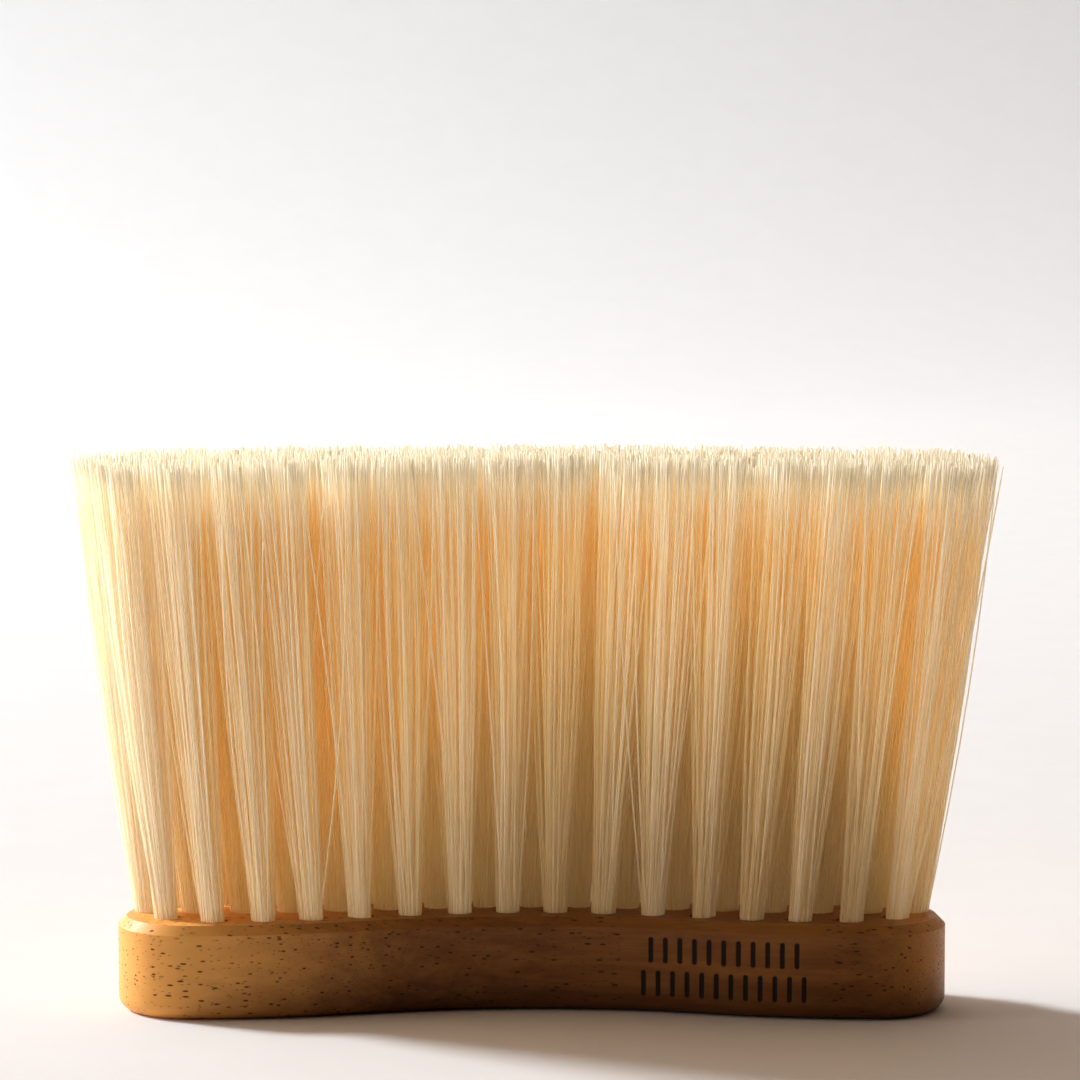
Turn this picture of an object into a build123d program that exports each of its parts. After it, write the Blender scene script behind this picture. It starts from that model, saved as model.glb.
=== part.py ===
from build123d import *
import math
import os

# Neck duster brush, in millimetres. +X runs along the block, +Y to the back, +Z up to the bristle tips.
# The hand block is kidney shaped: its front wall is hollowed at the middle, its back is nearly straight.

# ---- block ----
block_length = 150.0
block_thickness = 17.0
front_swell = 14.0          # how far the two front lobes stand forward of the end points
front_hollow = 9.7          # how far the front wall draws back at the middle
front_lobe_x = 61.8         # where the front lobes stand furthest forward
back_swell = 20.7           # how far the back stands behind the end points
back_hollow = 2.0
back_lobe_x = 50.0
top_chamfer = 1.6
bottom_round = 2.6

# ---- tuft rows ----
front_count = 16
middle_count = 17
back_count = 16
front_row_half = 65.6       # centre of the last hole in the row, measured along X
middle_row_half = 69.3
back_row_half = 64.6
middle_row_y_waist = 8.7    # where the middle row passes the centre line
middle_row_y_lobe = 2.2     # where it passes the lobes
row_gap_waist = 5.6         # from the middle row to each outer row at the centre line
row_gap_lobe = 8.8          # the same gap at the lobes
row_lobe_x = 57.0
end_tuck = 2.4              # the last tufts of the outer rows step toward the middle row

# ---- tufts ----
tuft_diameter = 4.4
tuft_length = 84.0          # from the top of the block to the tips
fan_along = 1.134           # tip pitch divided by hole pitch
fan_across = 1.5            # tip row gap divided by hole row gap
tip_fill = 0.96             # tip diameter of one tuft divided by the distance to the nearest tip
hole_clearance = 0.12       # gap around a tuft in its hole, each side
hole_depth = 11.0

# The 49 holes and tufts repeat, so each is kept as a prism with this many sides.
round_sides = 12

# ---- anchors ----
anchor_thickness = 0.5
anchor_height = 1.8
anchor_bite = 0.45          # how far an anchor cuts into the wood on each side of its hole
anchor_lift = 1.1           # room under the anchor for the fold of the tuft
anchor_clearance = 0.03     # gap on each flat of the anchor, in the wood and in the tuft

hole_radius = tuft_diameter / 2 + hole_clearance
anchor_length = 2 * (hole_radius + anchor_bite)


def s_curve(lobe_x, lobe_y, waist_y):
    # Two equal arcs join each lobe to the middle, level at both ends and tangent where they meet.
    turn_x = lobe_x / 2
    turn_y = (lobe_y + waist_y) / 2
    right = TangentArc((lobe_x, lobe_y), (turn_x, turn_y), tangent=(-1, 0))
    left = TangentArc((-lobe_x, lobe_y), (-turn_x, turn_y), tangent=(1, 0))
    middle = ThreePointArc((turn_x, turn_y), (0, waist_y), (-turn_x, turn_y))
    return [right, middle, left]


def end_corner(side, lobe_x, reach, start_angle):
    # A quarter of an oval, from a lobe round to the end of the block.
    centre = (side * lobe_x, 0)
    return EllipticalCenterArc(centre, block_length / 2 - lobe_x, reach, start_angle, arc_size=90)


def block_outline():
    edges = s_curve(front_lobe_x, -front_swell, front_hollow - front_swell)
    edges += s_curve(back_lobe_x, back_swell, back_swell - back_hollow)
    edges.append(end_corner(1, front_lobe_x, front_swell, 270))
    edges.append(end_corner(1, back_lobe_x, back_swell, 0))
    edges.append(end_corner(-1, back_lobe_x, back_swell, 90))
    edges.append(end_corner(-1, front_lobe_x, front_swell, 180))
    return make_face(Wire(edges))


def lobe_share(x):
    # 0 on the centre line, 1 at the lobes, easing off again toward the ends.
    return 0.5 - 0.5 * math.cos(math.pi * x / row_lobe_x)


def middle_row_y(x):
    return middle_row_y_waist + (middle_row_y_lobe - middle_row_y_waist) * lobe_share(x)


def row_gap(x):
    return row_gap_waist + (row_gap_lobe - row_gap_waist) * lobe_share(x)


def mouth_plane(x, y, lean_x, lean_y):
    # Each hole is drilled along its tuft's lean. The plane sits where the drill enters the block.
    rise = math.sqrt(tuft_length ** 2 - lean_x ** 2 - lean_y ** 2)
    return Plane(origin=(x, y, block_thickness), x_dir=(rise, 0, -lean_x), z_dir=(lean_x, lean_y, rise))


def row_mouths(count, half, side):
    # side is -1 for the front row, 0 for the middle row and 1 for the back row
    pitch = 2 * half / (count - 1)
    mouths = []
    for i in range(count):
        x = -half + i * pitch
        tuck = end_tuck if i in (0, count - 1) else 0
        hole_shift = side * (row_gap(x) - tuck)
        tip_shift = side * row_gap(x) * fan_across
        lean_x = x * (fan_along - 1)
        mouths.append(mouth_plane(x, middle_row_y(x) + hole_shift, lean_x, tip_shift - hole_shift))
    return mouths


rows = {
    "front": row_mouths(front_count, front_row_half, -1),
    "middle": row_mouths(middle_count, middle_row_half, 0),
    "rear": row_mouths(back_count, back_row_half, 1),
}

# Up from here, heights inside a hole are measured along the drill from the mouth.
floor_depth = -hole_depth
anchor_foot = floor_depth + anchor_lift
drill_overrun = 2.0


def ring(radius, height):
    turns = [2 * math.pi * i / round_sides for i in range(round_sides + 1)]
    return [(radius * math.cos(turn), radius * math.sin(turn), height) for turn in turns]


def prism(bottom_radius, top_radius, bottom, top):
    # Flat sides from a many-sided ring at the bottom to a like ring at the top, closed by two caps.
    low = ring(bottom_radius, bottom)
    high = ring(top_radius, top)
    corners = [(low[i], low[i + 1], high[i + 1], high[i]) for i in range(round_sides)]
    corners += [low[:-1], high[:-1]]
    return Solid(Shell([Face(Wire.make_polygon(points)) for points in corners]))


def bar(length, width, bottom, top):
    box = Box(length, width, top - bottom, align=(Align.CENTER, Align.CENTER, Align.MIN))
    return Pos(0, 0, bottom) * box


def hole_cutter():
    # A drilled hole with the two slits its anchor leaves as it is driven down.
    slit_width = anchor_thickness + 2 * anchor_clearance
    slit = bar(anchor_length, slit_width, floor_depth, drill_overrun)
    return prism(hole_radius, hole_radius, floor_depth, drill_overrun) + slit


def make_block():
    body = extrude(block_outline(), amount=block_thickness)
    body = fillet(body.faces().sort_by(Axis.Z)[0].edges(), bottom_round)
    body = chamfer(body.faces().sort_by(Axis.Z)[-1].edges(), top_chamfer)
    cutter = hole_cutter()
    return body - [mouth * cutter for mouths in rows.values() for mouth in mouths]


def make_tuft():
    # The shank fills the hole; above the mouth the tuft opens evenly to its tip.
    # The eye is where the folded filaments pass round the anchor.
    # The tip fills the distance to the nearest tip, in its own row or in the next row at the waist.
    radius = tuft_diameter / 2
    tip_pitch = 2 * middle_row_half / (middle_count - 1) * fan_along
    next_row = math.hypot(tip_pitch / 2, row_gap_waist * fan_across)
    tip_radius = tip_fill * min(tip_pitch, next_row) / 2
    shank = prism(radius, radius, floor_depth, 0)
    fan = prism(radius, tip_radius, 0, tuft_length)
    eye = bar(tuft_diameter + 2, anchor_thickness + 2 * anchor_clearance,
              anchor_foot, anchor_foot + anchor_height)
    return shank + fan - eye


def make_anchor():
    return bar(anchor_length, anchor_thickness, anchor_foot, anchor_foot + anchor_height)


tuft = make_tuft()
anchor = make_anchor()
pieces = {"wood_block": make_block()}
for row, mouths in rows.items():
    for number, mouth in enumerate(mouths, start=1):
        pieces[f"tuft_{row}_{number:02d}"] = mouth * tuft
    pieces[f"{row}_row_anchors"] = Compound([mouth * anchor for mouth in mouths])

# The origin sits on the floor under the middle of the whole brush.
boxes = [piece.bounding_box() for piece in pieces.values()]
middle_x = (min(box.min.X for box in boxes) + max(box.max.X for box in boxes)) / 2
middle_y = (min(box.min.Y for box in boxes) + max(box.max.Y for box in boxes)) / 2
to_origin = Pos(-middle_x, -middle_y, 0)

os.makedirs("parts", exist_ok=True)
for name, piece in pieces.items():
    export_step(to_origin * piece, f"parts/{name}.step")
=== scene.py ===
import bpy
import math
import numpy as np
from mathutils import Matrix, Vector


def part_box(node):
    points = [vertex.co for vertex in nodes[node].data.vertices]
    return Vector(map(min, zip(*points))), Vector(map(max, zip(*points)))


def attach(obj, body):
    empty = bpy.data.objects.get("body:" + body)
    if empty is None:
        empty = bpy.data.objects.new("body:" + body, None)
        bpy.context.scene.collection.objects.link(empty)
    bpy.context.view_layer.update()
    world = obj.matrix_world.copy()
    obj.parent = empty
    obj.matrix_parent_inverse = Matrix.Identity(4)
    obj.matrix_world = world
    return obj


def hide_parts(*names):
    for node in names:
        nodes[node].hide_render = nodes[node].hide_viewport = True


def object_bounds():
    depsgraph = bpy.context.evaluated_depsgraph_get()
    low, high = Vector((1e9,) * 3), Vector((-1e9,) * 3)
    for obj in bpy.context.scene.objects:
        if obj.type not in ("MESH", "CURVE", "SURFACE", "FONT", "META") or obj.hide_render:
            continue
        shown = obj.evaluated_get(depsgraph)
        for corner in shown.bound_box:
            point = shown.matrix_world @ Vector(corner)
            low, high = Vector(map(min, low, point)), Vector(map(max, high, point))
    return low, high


# Neck duster brush: real filaments in place of the plain tufts, worked wood, studio light.

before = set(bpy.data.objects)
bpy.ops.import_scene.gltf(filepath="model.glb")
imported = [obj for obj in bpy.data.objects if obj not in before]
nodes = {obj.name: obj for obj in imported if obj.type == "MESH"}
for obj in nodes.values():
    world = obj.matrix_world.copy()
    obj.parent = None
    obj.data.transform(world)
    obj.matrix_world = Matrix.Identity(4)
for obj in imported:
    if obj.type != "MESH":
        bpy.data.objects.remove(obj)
cadBox = [list(corner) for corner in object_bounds()]
blockLow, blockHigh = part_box("wood_block")
mm = 0.001
print("frame loaded:", len(nodes), "nodes")


class Signal:
    # One socket of a shader tree. Arithmetic on it adds Math nodes.
    def __init__(self, tree, socket):
        self.tree = tree
        self.socket = socket

    def add(self, kind, inputs, output=0, **settings):
        made = self.tree.nodes.new(kind)
        for name, value in settings.items():
            setattr(made, name, value)
        for key, value in inputs.items():
            if isinstance(value, Signal):
                self.tree.links.new(value.socket, made.inputs[key])
            else:
                made.inputs[key].default_value = value
        return Signal(self.tree, made.outputs[output])

    def math(self, operation, *others):
        return self.add("ShaderNodeMath", dict(enumerate((self,) + others)), operation=operation)

    def __add__(self, other):
        return self.math("ADD", other)

    def __radd__(self, other):
        return self.math("ADD", other)

    def __sub__(self, other):
        return self.math("SUBTRACT", other)

    def __rsub__(self, other):
        return (self * -1.0) + other

    def __mul__(self, other):
        return self.math("MULTIPLY", other)

    def __truediv__(self, other):
        return self.math("DIVIDE", other)

    def step(self, start, end, low=0.0, high=1.0):
        # A smooth change from low to high while the signal goes from start to end.
        return self.add("ShaderNodeMapRange", {0: self, 1: start, 2: end, 3: low, 4: high},
                        interpolation_type="SMOOTHSTEP")

    def mix(self, first, second):
        # The signal blends from the first colour to the second.
        return self.add("ShaderNodeMix", {0: self, 6: first, 7: second}, output=2, data_type="RGBA")


def combine(x, y, z):
    return x.add("ShaderNodeCombineXYZ", {0: x, 1: y, 2: z})


def noise(vector, scale, detail=2.0, roughness=0.5):
    return vector.add("ShaderNodeTexNoise",
                      {"Vector": vector, "Scale": scale, "Detail": detail, "Roughness": roughness})


def newMaterial(name):
    material = bpy.data.materials.new(name)
    material.use_nodes = True
    tree = material.node_tree
    shader = tree.nodes["Principled BSDF"]
    return material, tree, shader


def objectPlace(tree):
    # Object coordinates as three signals, in millimetres.
    place = Signal(tree, tree.nodes.new("ShaderNodeTexCoord").outputs["Object"])
    parts = tree.nodes.new("ShaderNodeSeparateXYZ")
    tree.links.new(place.socket, parts.inputs[0])
    return [Signal(tree, socket) * 1000.0 for socket in parts.outputs]


def bumpInto(shader, height, distance, strength):
    tree = height.tree
    bump = height.add("ShaderNodeBump", {"Height": height, "Distance": distance, "Strength": strength})
    tree.links.new(bump.socket, shader.inputs["Normal"])


wood = {
    "paleColour": (0.38, 0.150, 0.026, 1),
    "deepColour": (0.19, 0.058, 0.008, 1),
    "lowShade": (0.07, 0.018, 0.003, 1),     # painted shade, darker along the lower edge
    "litEndColour": (0.97, 0.45, 0.105, 1),   # painted light: the -X end lighter, where light from the left falls on it
    "poreColour": (0.045, 0.013, 0.003, 1),
    "grainTurn": math.radians(-9),   # plan angle between the grain and the length
    "poreLength": 2.9,               # spacing of pores along the grain, mm
    "poreSpacing": 0.82,             # spacing across it, mm
    "poreSize": 0.21,
    "poreKeep": (0.25, 0.45),        # cells darker than this have no pore
    "finePore": 0.7,                 # how strong the second, finer set of pores is
    "poreDark": 0.85,
    "litEndReach": (16.0, 72.0),        # mm toward -X over which the painted light comes in
    "sapShare": 0.9,
    "farLitEndReach": (58.0, 74.0),     # the same painted light toward +X
    "farLitEndShare": 0.6,
    "lowShadeHeight": 9.5,               # mm above the floor over which the painted shade fades
    "lowShadeShare": 0.74,
    "roughness": 0.42,
    "specular": 0.18,
    "coat": 0.05,
    "coatRoughness": 0.34,
    "relief": 0.7,                   # strength of the grain's bump
}

# The burnt-in decoration is two staggered rows of plain upright dashes.
dashes = {
    "count": 12,
    "firstX": 18.9,      # mm along the block
    "pitch": 2.6,
    "width": 0.85,
    "height": 4.7,
    "rowHeights": (5.5, 11.6),   # centre of each row above the floor, mm
    "colour": (0.012, 0.006, 0.004, 1),
    "dark": 0.97,
    "depth": 0.35,       # mm
    "softEdge": 0.12,    # mm
    "margin": 1.5,       # mm kept free of pores at each end of the rows
    "fade": 2.0,         # mm over which the pores come back
}


def dashMask(x, y, z):
    # Distance to a dash is sqrt(side^2 + end^2): side from its centre line, end past its straight part.
    mask = None
    for index, rowHeight in enumerate(dashes["rowHeights"]):
        along = (x - (dashes["firstX"] + index * dashes["pitch"] / 2)) / dashes["pitch"]
        side = (along.math("FRACT") - 0.5) * dashes["pitch"]
        straight = (dashes["height"] - dashes["width"]) / 2
        end = ((z - rowHeight).math("ABSOLUTE") - straight).math("MAXIMUM", 0.0)
        distance = (side * side + end * end).math("SQRT")
        half = dashes["width"] / 2
        row = distance.step(half - dashes["softEdge"], half + dashes["softEdge"], 1.0, 0.0)
        count = dashes["count"] - index
        row = row * along.math("GREATER_THAN", 0.0) * along.math("LESS_THAN", float(count))
        mask = row if mask is None else mask.math("MAXIMUM", row)
    return mask * y.math("LESS_THAN", 0.0)


def poreLayer(along, across, up, spacing, length, size):
    # Cells stretched along the grain. A pore is the middle of a cell, and some cells have none.
    vector = combine(along / length, across / spacing, up / spacing)
    cells = vector.add("ShaderNodeTexVoronoi", {"Vector": vector, "Scale": 1.0}, feature="F1")
    shade = Signal(cells.tree, cells.socket.node.outputs["Color"])
    lucky = shade.add("ShaderNodeSeparateColor", {0: shade})
    keep = lucky.step(*wood["poreKeep"])
    return cells.step(size * 0.75, size * 1.25, 1.0, 0.0) * keep


def woodMaterial():
    material, tree, shader = newMaterial("oiledHardwood")
    x, y, z = objectPlace(tree)
    turn = wood["grainTurn"]
    along = x * math.cos(turn) + y * math.sin(turn)
    across = y * math.cos(turn) - x * math.sin(turn)
    wander = noise(combine(along / 40.0, across / 9.0, z / 9.0), 1.0, 2.0) * 2.4
    bands = noise(combine(along / 55.0, across / 2.2 + wander, z / 3.0 + wander), 1.0, 4.0, 0.6)
    streaks = noise(combine(along / 26.0, across / 0.5, z / 0.5), 1.0, 3.0, 0.6)
    clouds = noise(combine(x / 30.0, y / 14.0, z / 12.0), 1.0, 2.0)
    tone = bands.step(0.30, 0.70) * 0.5 + streaks.step(0.30, 0.72) * 0.25 + clouds.step(0.3, 0.7) * 0.25
    pores = poreLayer(along, across, z, wood["poreSpacing"], wood["poreLength"], wood["poreSize"])
    fine = poreLayer(along + 3.1, across + 1.7, z + 0.9, wood["poreSpacing"] * 0.55,
                     wood["poreLength"] * 0.6, wood["poreSize"] * 0.9)
    burnt = dashMask(x, y, z)
    middle = dashes["firstX"] + dashes["count"] * dashes["pitch"] / 2
    reach = dashes["count"] * dashes["pitch"] / 2 + dashes["margin"]
    clear = (x - middle).math("ABSOLUTE").step(reach, reach + dashes["fade"])
    pits = pores.math("MAXIMUM", fine * wood["finePore"]) * clear
    # Painted light: lighter toward the -X end and, less, toward the +X end.
    sap = (x * -1.0 + (bands - 0.5) * 12.0).step(*wood["litEndReach"]) * wood["sapShare"]
    farLitEnd = x.step(*wood["farLitEndReach"]) * wood["farLitEndShare"]
    colour = tone.mix(wood["deepColour"], wood["paleColour"])
    colour = (sap + farLitEnd).mix(colour, wood["litEndColour"])
    # Painted shade toward the lower edge, left out where the painted light of the -X end is.
    lowShadeMask = (z + (bands - 0.5) * 3.0).step(0.0, wood["lowShadeHeight"], wood["lowShadeShare"], 0.0)
    lowShadeMask = lowShadeMask * (1 - sap)
    colour = lowShadeMask.mix(colour, wood["lowShade"])
    colour = (pits * wood["poreDark"]).mix(colour, wood["poreColour"])
    colour = (burnt * dashes["dark"]).mix(colour, dashes["colour"])
    tree.links.new(colour.socket, shader.inputs["Base Color"])
    rough = wood["roughness"] + pits * 0.25 + burnt * 0.30 + (streaks - 0.5) * 0.12
    tree.links.new(rough.socket, shader.inputs["Roughness"])
    height = streaks * 0.06 - pits * 0.35 - burnt * 1.0
    bumpInto(shader, height, dashes["depth"] * mm, wood["relief"])
    shader.inputs["Coat Weight"].default_value = wood["coat"]
    shader.inputs["Coat Roughness"].default_value = wood["coatRoughness"]
    shader.inputs["Specular IOR Level"].default_value = wood["specular"]
    return material


anchor = {
    "brightColour": (0.62, 0.60, 0.55, 1),
    "tarnishColour": (0.42, 0.38, 0.32, 1),
    "roughness": 0.22,
    "scratchRoughness": 0.3,
    "scratchDepth": 0.01,    # mm
}


def anchorMaterial():
    # Drawn wire: fine scratches along its length and a little tarnish.
    material, tree, shader = newMaterial("anchorWire")
    x, y, z = objectPlace(tree)
    scratches = noise(combine(x / 4.0, y / 0.05, z / 0.05), 1.0, 3.0)
    tarnish = noise(combine(x, y, z), 0.4, 2.0)
    colour = tarnish.step(0.35, 0.7).mix(anchor["brightColour"], anchor["tarnishColour"])
    tree.links.new(colour.socket, shader.inputs["Base Color"])
    rough = scratches * anchor["scratchRoughness"] + anchor["roughness"]
    tree.links.new(rough.socket, shader.inputs["Roughness"])
    bumpInto(shader, scratches, anchor["scratchDepth"] * mm, 0.5)
    shader.inputs["Metallic"].default_value = 1.0
    return material


bristle = {
    "perTuft": 104,
    "thickness": 0.35,      # mm
    "sides": 4,
    "rimDepth": 2.6,        # mm below the highest corner that still counts as the tip's rim
    "rings": 9,             # above the block
    "holeFill": 2.08,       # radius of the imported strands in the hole, mm
    "tipFill": 1.0,         # share of the CAD tip radius that the strands spread over
    "tipScatter": 1.05,     # mm
    "strayShare": 0.09,
    "strayScatter": 3.4,    # mm
    "drift": 0.9,           # how far the tips have been brushed toward +X, mm
    "sway": 0.6,            # how far a whole tuft leans by chance, mm
    "overhang": 0.7,        # how far a stray tip may pass the CAD box, mm
    "bow": 0.6,             # sideways bow at mid length, mm
    "ease": 0.10,           # how much earlier than a straight strand it leans out
    "trimLow": 2.4,         # how far a tip may fall below the trimmed top, mm
    "trimHigh": 0.4,
    "paleDepth": 3.0,       # mm inward from the outside over which the painted light fades and strands turn from pale to amber
    "paleColour": (0.975, 0.94, 0.87, 1),
    "warmColour": (0.96, 0.75, 0.26, 1),
    # painted shade: the tips grey, darker than the filament, to hold them down under the key light
    "tipColour": (0.58, 0.585, 0.60, 1),
    # painted shade: the foot of every strand darker, where little light gets in
    "footShadeColour": (0.34, 0.19, 0.068, 1),
    "glowColour": (0.985, 0.90, 0.72, 1),
    "glowShare": 0.58,      # share of the light that a strand lets through
    "endLift": 0.75,        # how far down the painted light reaches at the -X end, lifting the foot's painted shade, share of the length
    "endPale": 1.0,         # how much paler the filaments are painted at that end, for the light from the left
    "endReach": (-80.0, -52.0),      # mm along the brush over which that fades
    "nearReach": (-72.0, 20.0),      # the same for the pale part's reach
    "farReach": (54.0, 72.0),        # a little of it again at the +X end
    "farLift": 0.4,
    "upperReach": (0.78, 0.97),      # painted light: share of the length over which every strand turns pale
    "upperPale": 0.7,
    "paleLift": 0.35,       # pale strands stay light nearer to the foot
    "footShadeReach": (-0.12, 1.0),       # share of the length over which the foot's painted shade fades
    "tipReach": (0.93, 1.0),
    "mottle": 0.2,
    "innerTone": 0.12,      # tone of a strand deep inside, 0 amber and 1 pale
    "outerTone": 0.8,       # what is added to it on the outside
    "toneSpread": 0.05,
    "widthSpread": 0.07,    # spread of thickness from strand to strand, share
    "footClear": 0.2,       # mm between the strands' ends and the bottom of the tuft
    "specular": 0.45,
    "roughness": 0.36,
    "mottleRoughness": 0.15,
    "seed": 71,
}


def bristleMaterial():
    material, tree, shader = newMaterial("waxyFilament")
    tone = Signal(tree, tree.nodes.new("ShaderNodeAttribute").outputs["Fac"])
    tone.socket.node.attribute_name = "tone"
    rise = Signal(tree, tree.nodes.new("ShaderNodeAttribute").outputs["Fac"])
    rise.socket.node.attribute_name = "rise"
    x, y, z = objectPlace(tree)
    mottle = noise(combine(x / 0.6, y / 0.6, z / 7.0), 1.0, 2.0)
    # Painted light: paler at the -X end, where light from the left falls, and toward the top of every
    # strand, where the tips catch the light.
    paintedPale = (x.step(*bristle["endReach"], bristle["endPale"], 0.0)
                + rise.step(*bristle["upperReach"]) * bristle["upperPale"])
    pale = tone + paintedPale + (mottle - 0.5) * bristle["mottle"]
    pale = pale.math("MINIMUM", 1.0).math("MAXIMUM", 0.0)
    colour = pale.mix(bristle["warmColour"], bristle["paleColour"])
    # Painted shade at the foot, reaching less far up near both ends and on pale strands.
    nearEnd = (x.step(*bristle["nearReach"], bristle["endLift"], 0.0)
               + x.step(*bristle["farReach"], 0.0, bristle["farLift"]))
    clearOfFootShade = (rise + nearEnd + pale * bristle["paleLift"]).step(*bristle["footShadeReach"])
    colour = clearOfFootShade.mix(bristle["footShadeColour"], colour)
    # Painted shade: the very tips turn grey.
    colour = rise.step(*bristle["tipReach"]).mix(colour, bristle["tipColour"])
    tree.links.new(colour.socket, shader.inputs["Base Color"])
    rough = bristle["roughness"] + mottle * bristle["mottleRoughness"]
    tree.links.new(rough.socket, shader.inputs["Roughness"])
    shader.inputs["Specular IOR Level"].default_value = bristle["specular"]
    glow = tree.nodes.new("ShaderNodeBsdfTranslucent")
    glow.inputs["Color"].default_value = bristle["glowColour"]
    blend = tree.nodes.new("ShaderNodeMixShader")
    blend.inputs[0].default_value = bristle["glowShare"]
    tree.links.new(shader.outputs[0], blend.inputs[1])
    tree.links.new(glow.outputs[0], blend.inputs[2])
    tree.links.new(blend.outputs[0], tree.nodes["Material Output"].inputs["Surface"])
    return material


def ringMiddle(points):
    return (points.min(axis=0) + points.max(axis=0)) / 2


def tuftPlace(node):
    # Foot, tip and tip radius of a tuft, from the lowest and highest corners of its solid.
    mesh = nodes[node].data
    points = np.empty(len(mesh.vertices) * 3)
    mesh.vertices.foreach_get("co", points)
    points = points.reshape(-1, 3)
    height = points[:, 2]
    foot = ringMiddle(points[height < height.min() + 0.1 * mm])
    rim = points[height > height.max() - bristle["rimDepth"] * mm]
    tip = ringMiddle(rim)
    radius = np.linalg.norm(rim - tip, axis=1).max()
    return foot, tip, radius


def strandTones(end, tip, tipRadius, side, rng):
    # Painted light: outer strands are pale, as where light reaches them, and the inner ones amber, as
    # for light that has passed through other strands: exp(-depth inward / pale depth).
    if side == 0:
        depth = np.full(len(end), 4 * tipRadius)
    else:
        depth = tipRadius - side * (end[:, 1] - tip[1])
    # Strands near either end of the brush count as outer and are painted lit too.
    reach = cadBox[1][0] - np.abs(end[:, 0])
    depth = np.maximum(np.minimum(depth, reach), 0)
    outer = np.exp(-depth / (bristle["paleDepth"] * mm))
    tone = bristle["innerTone"] + bristle["outerTone"] * outer
    return np.clip(tone + rng.normal(0, bristle["toneSpread"], len(end)), 0, 1)


def foldBack(end):
    # A tip that has strayed past the edge of the brush is folded back inside it.
    reach = np.array(cadBox[1][:2]) + bristle["overhang"] * mm
    past = np.maximum(np.abs(end) - reach, 0)
    return end - 2 * past * np.sign(end)


def strandPaths(foot, tip, tipRadius, rng):
    # Roots follow a sunflower spiral: radius goes with the square root of the strand's number.
    # Below the mouth a strand is plumb. Above it, it goes to its tip by t + ease t (1 - t), with a bow
    # of sin(pi t) sideways.
    count = bristle["perTuft"]
    number = np.arange(count)
    spiral = number * math.pi * (3 - math.sqrt(5)) + rng.uniform(0, 6.28)
    share = np.sqrt((number + 0.5) / count)
    direction = np.stack([np.cos(spiral), np.sin(spiral)], axis=1)
    root = foot[:2] + direction * share[:, None] * bristle["holeFill"] * mm
    scatter = np.full(count, bristle["tipScatter"] * mm)
    strays = rng.random(count) < bristle["strayShare"]
    scatter[strays] = bristle["strayScatter"] * mm
    end = tip[:2] + direction * share[:, None] * tipRadius * bristle["tipFill"]
    end = end + rng.normal(0, 1, (count, 2)) * scatter[:, None]
    end += rng.normal(0, bristle["sway"] * mm, 2) + np.array([bristle["drift"] * mm, 0])
    end = foldBack(end)
    trim = rng.triangular(-bristle["trimLow"], 0, bristle["trimHigh"], count) * mm
    mouth = blockHigh[2]
    lean = np.linalg.norm(end - tip[:2], axis=1)
    endHeight = tip[2] + trim - lean ** 2 / (2 * (tip[2] - mouth))
    t = np.linspace(0, 1, bristle["rings"])[None, :, None]
    bow = rng.normal(0, bristle["bow"] * mm, (count, 1, 2)) * np.sin(np.pi * t)
    ease = t + bristle["ease"] * t * (1 - t)
    flat = root[:, None, :] + (end - root)[:, None, :] * ease + bow
    level = mouth + (endHeight - mouth)[:, None, None] * t
    above = np.concatenate([flat, level], axis=2)
    inside = np.concatenate([root, np.full((count, 1), foot[2] + bristle["footClear"] * mm)], axis=1)
    rise = np.concatenate([[0.0], np.linspace(0, 1, bristle["rings"])])
    return np.concatenate([inside[:, None, :], above], axis=1), rise, end


def strandMesh(name, paths, rise, tones, rng):
    # Every strand is a thin closed tube with level rings.
    count, rings, _ = paths.shape
    sides = bristle["sides"]
    turn = np.linspace(0, 2 * np.pi, sides, endpoint=False)
    twist = rng.uniform(0, 2 * np.pi, (count, 1, 1)) + turn
    radius = bristle["thickness"] / 2 * mm * rng.normal(1, bristle["widthSpread"], (count, 1, 1))
    around = np.stack([np.cos(twist), np.sin(twist), np.zeros_like(twist)], axis=-1)
    points = paths[:, :, None, :] + around * radius[..., None]
    tube = np.arange((rings - 1) * sides).reshape(rings - 1, sides)
    nextSide = np.roll(tube, -1, axis=1)
    walls = np.stack([tube, nextSide, nextSide + sides, tube + sides], axis=-1).reshape(-1, 4)
    bottom = np.arange(sides)[::-1][None, :]
    top = (rings - 1) * sides + np.arange(sides)[None, :]
    oneStrand = np.concatenate([walls, bottom, top])
    faces = oneStrand[None] + (np.arange(count) * rings * sides)[:, None, None]
    faces = faces.reshape(-1, 4)
    mesh = bpy.data.meshes.new(name)
    mesh.vertices.add(points.size // 3)
    mesh.vertices.foreach_set("co", points.ravel())
    mesh.loops.add(faces.size)
    mesh.loops.foreach_set("vertex_index", faces.ravel())
    mesh.polygons.add(len(faces))
    mesh.polygons.foreach_set("loop_start", np.arange(len(faces)) * 4)
    mesh.polygons.foreach_set("use_smooth", np.ones(len(faces), bool))
    tone = mesh.attributes.new("tone", "FLOAT", "POINT")
    tone.data.foreach_set("value", np.repeat(tones, rings * sides))
    along = mesh.attributes.new("rise", "FLOAT", "POINT")
    along.data.foreach_set("value", np.tile(np.repeat(rise, sides), count))
    mesh.update()
    mesh.validate()
    return mesh


def makeTuft(node, material, rng):
    foot, tip, tipRadius = tuftPlace(node)
    side = {"front": -1, "middle": 0, "rear": 1}[node.split("_")[1]]
    paths, rise, end = strandPaths(foot, tip, tipRadius, rng)
    tones = strandTones(end, tip, tipRadius, side, rng)
    mesh = strandMesh(node + "_filaments", paths, rise, tones, rng)
    mesh.materials.append(material)
    piece = bpy.data.objects.new(node + "_filaments", mesh)
    bpy.context.scene.collection.objects.link(piece)
    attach(piece, "root")
    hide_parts(node)
    return piece


rng = np.random.default_rng(bristle["seed"])
filament = bristleMaterial()
filaments = [makeTuft(node, filament, rng) for node in sorted(nodes) if node.startswith("tuft_")]
print("tufts made")

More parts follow.
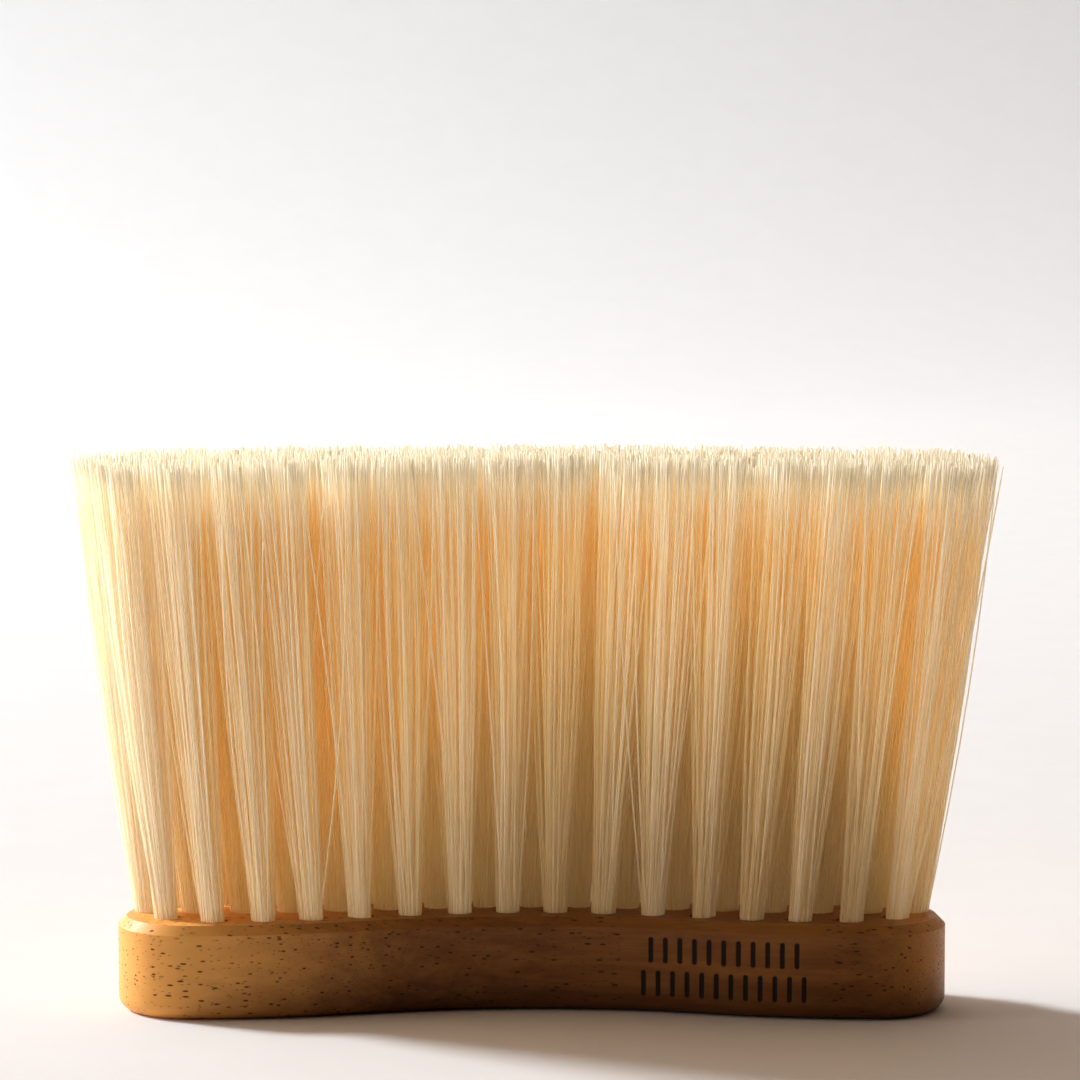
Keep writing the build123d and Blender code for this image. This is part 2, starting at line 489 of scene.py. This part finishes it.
worked = {"wood_block": woodMaterial()}
anchorWire = anchorMaterial()
for node in nodes:
    if node.endswith("anchors"):
        worked[node] = anchorWire
for node, material in worked.items():
    nodes[node].data.materials.clear()
    nodes[node].data.materials.append(material)
print("materials made")


studio = {
    "floorColour": (0.80, 0.785, 0.765, 1),
    "fleckColour": (0.81, 0.795, 0.775, 1),
    "floorRoughness": 0.75,
    "floorSpecular": 0.15,
    "floorSide": 4.5,
    "wallBack": 2.4,
    "wallHeight": 2.6,
    "coveRadius": 0.9,
    "keyDirection": (-0.883, 0.469),   # level direction toward the key light
    "keyHeight": math.radians(31),
    "keyDistance": 5.0,
    "keySize": 0.93,
    "keyPower": 335.0,
    "keyColour": (0.94, 1.0, 1.07),
    "skyAround": (0.60, 0.41, 0.29, 1),   # above and behind
    "skyFront": (0.012, 0.008, 0.006, 1),
    "skyLeft": (3.3, 3.0, 2.75, 1),      # a broad soft window at the left
    "wallLightPower": 2.6,
    "wallLightSize": 1.2,
    "wallLightColour": (1, 0.96, 0.92),
    "fillColour": (1.0, 0.91, 0.71),
    # Front, left and rear fills that only reach the filaments. The first two cast no shadow, as
    # light in a real tuft passes from strand to strand.
    "fills": [
        {"place": (-0.06, -0.78, 0.20), "size": 0.7, "power": 0.75, "shadow": False},
        {"place": (-0.18, -0.10, 0.24), "size": 0.24, "power": 0.62, "shadow": False},
        {"place": (0.0, 0.34, 0.36), "size": 0.4, "power": 2.3, "shadow": True},
    ],
}


def makeFloor():
    # One profile swept sideways: level floor, quarter-circle cove, upright wall.
    radius = studio["coveRadius"]
    turn = np.linspace(0, np.pi / 2, 24)
    coveY = studio["wallBack"] - radius + radius * np.sin(turn)
    coveZ = radius - radius * np.cos(turn)
    profileY = np.concatenate([[-studio["floorSide"]], coveY, [studio["wallBack"]]])
    profileZ = np.concatenate([[0.0], coveZ, [studio["wallHeight"]]])
    points = [(side * studio["floorSide"], y, z) for y, z in zip(profileY, profileZ) for side in (-1, 1)]
    faces = [(2 * i, 2 * i + 1, 2 * i + 3, 2 * i + 2) for i in range(len(profileY) - 1)]
    mesh = bpy.data.meshes.new("floor")
    mesh.from_pydata(points, [], faces)
    mesh.polygons.foreach_set("use_smooth", [True] * len(faces))
    floor = bpy.data.objects.new("floor", mesh)
    bpy.context.scene.collection.objects.link(floor)
    material, tree, shader = newMaterial("paleCard")
    x, y, z = objectPlace(tree)
    fleck = noise(combine(x, y, z), 0.05, 3.0)
    colour = fleck.step(0.3, 0.7).mix(studio["floorColour"], studio["fleckColour"])
    tree.links.new(colour.socket, shader.inputs["Base Color"])
    shader.inputs["Roughness"].default_value = studio["floorRoughness"]
    shader.inputs["Specular IOR Level"].default_value = studio["floorSpecular"]
    mesh.materials.append(material)


def addLamp(name, place, aim, size, power, colour, shadow=True):
    lamp = bpy.data.lights.new(name, "AREA")
    lamp.shape = "DISK"
    lamp.size = size
    lamp.energy = power
    lamp.color = colour
    lamp.use_shadow = shadow
    holder = bpy.data.objects.new(name, lamp)
    holder.location = place
    holder.visible_camera = False
    holder.rotation_euler = (Vector(aim) - Vector(place)).to_track_quat("-Z", "Y").to_euler()
    bpy.context.scene.collection.objects.link(holder)
    return holder


def makeLights():
    level = studio["keyDistance"] * math.cos(studio["keyHeight"])
    keyPlace = (studio["keyDirection"][0] * level, studio["keyDirection"][1] * level,
                studio["keyDistance"] * math.sin(studio["keyHeight"]))
    addLamp("key", keyPlace, (0, 0, 0), studio["keySize"], studio["keyPower"], studio["keyColour"])
    addLamp("wallLight", (0, 1.1, 1.5), (0, 2.0, 0.3), studio["wallLightSize"],
            studio["wallLightPower"], studio["wallLightColour"])
    lit = bpy.data.collections.new("litByFill")
    for piece in filaments:
        lit.objects.link(piece)
    for number, fill in enumerate(studio["fills"]):
        holder = addLamp(f"filamentFill{number}", fill["place"], (0, 0, 0.08), fill["size"],
                         fill["power"], studio["fillColour"], fill["shadow"])
        holder.light_linking.receiver_collection = lit


def makeSky():
    # Brightest at the left, soft above and behind, dim on the camera's side.
    world = bpy.data.worlds.new("studioSky")
    bpy.context.scene.world = world
    world.use_nodes = True
    tree = world.node_tree
    coords = tree.nodes.new("ShaderNodeTexCoord")
    parts = tree.nodes.new("ShaderNodeSeparateXYZ")
    tree.links.new(coords.outputs["Generated"], parts.inputs[0])
    x, y, z = [Signal(tree, socket) for socket in parts.outputs]
    around = (y * 0.85 + z * 0.5).step(-0.1, 0.8)
    window = (y * 0.25 - x).step(0.62, 1.0)
    colour = window.mix(around.mix(studio["skyFront"], studio["skyAround"]), studio["skyLeft"])
    tree.links.new(colour.socket, tree.nodes["Background"].inputs["Color"])


camera = {
    "place": (0.0015, -0.8323, 0.165),
    "tilt": math.radians(5.5),
    "lens": 154.2,
}


def makeCamera():
    eye = bpy.data.cameras.new("camera")
    eye.lens = camera["lens"]
    eye.sensor_width = 36
    eye.clip_start = 0.01
    holder = bpy.data.objects.new("camera", eye)
    holder.location = camera["place"]
    holder.rotation_euler = (math.pi / 2 - camera["tilt"], 0, 0)
    bpy.context.scene.collection.objects.link(holder)
    bpy.context.scene.camera = holder


makeFloor()
makeLights()
makeSky()
makeCamera()
bpy.context.scene.view_settings.view_transform = "Standard"
# Light has to pass through many strands before it leaves the tufts.
bpy.context.scene.cycles.max_bounces = 24
bpy.context.scene.cycles.diffuse_bounces = 12
bpy.context.scene.cycles.transmission_bounces = 16
print("studio made")
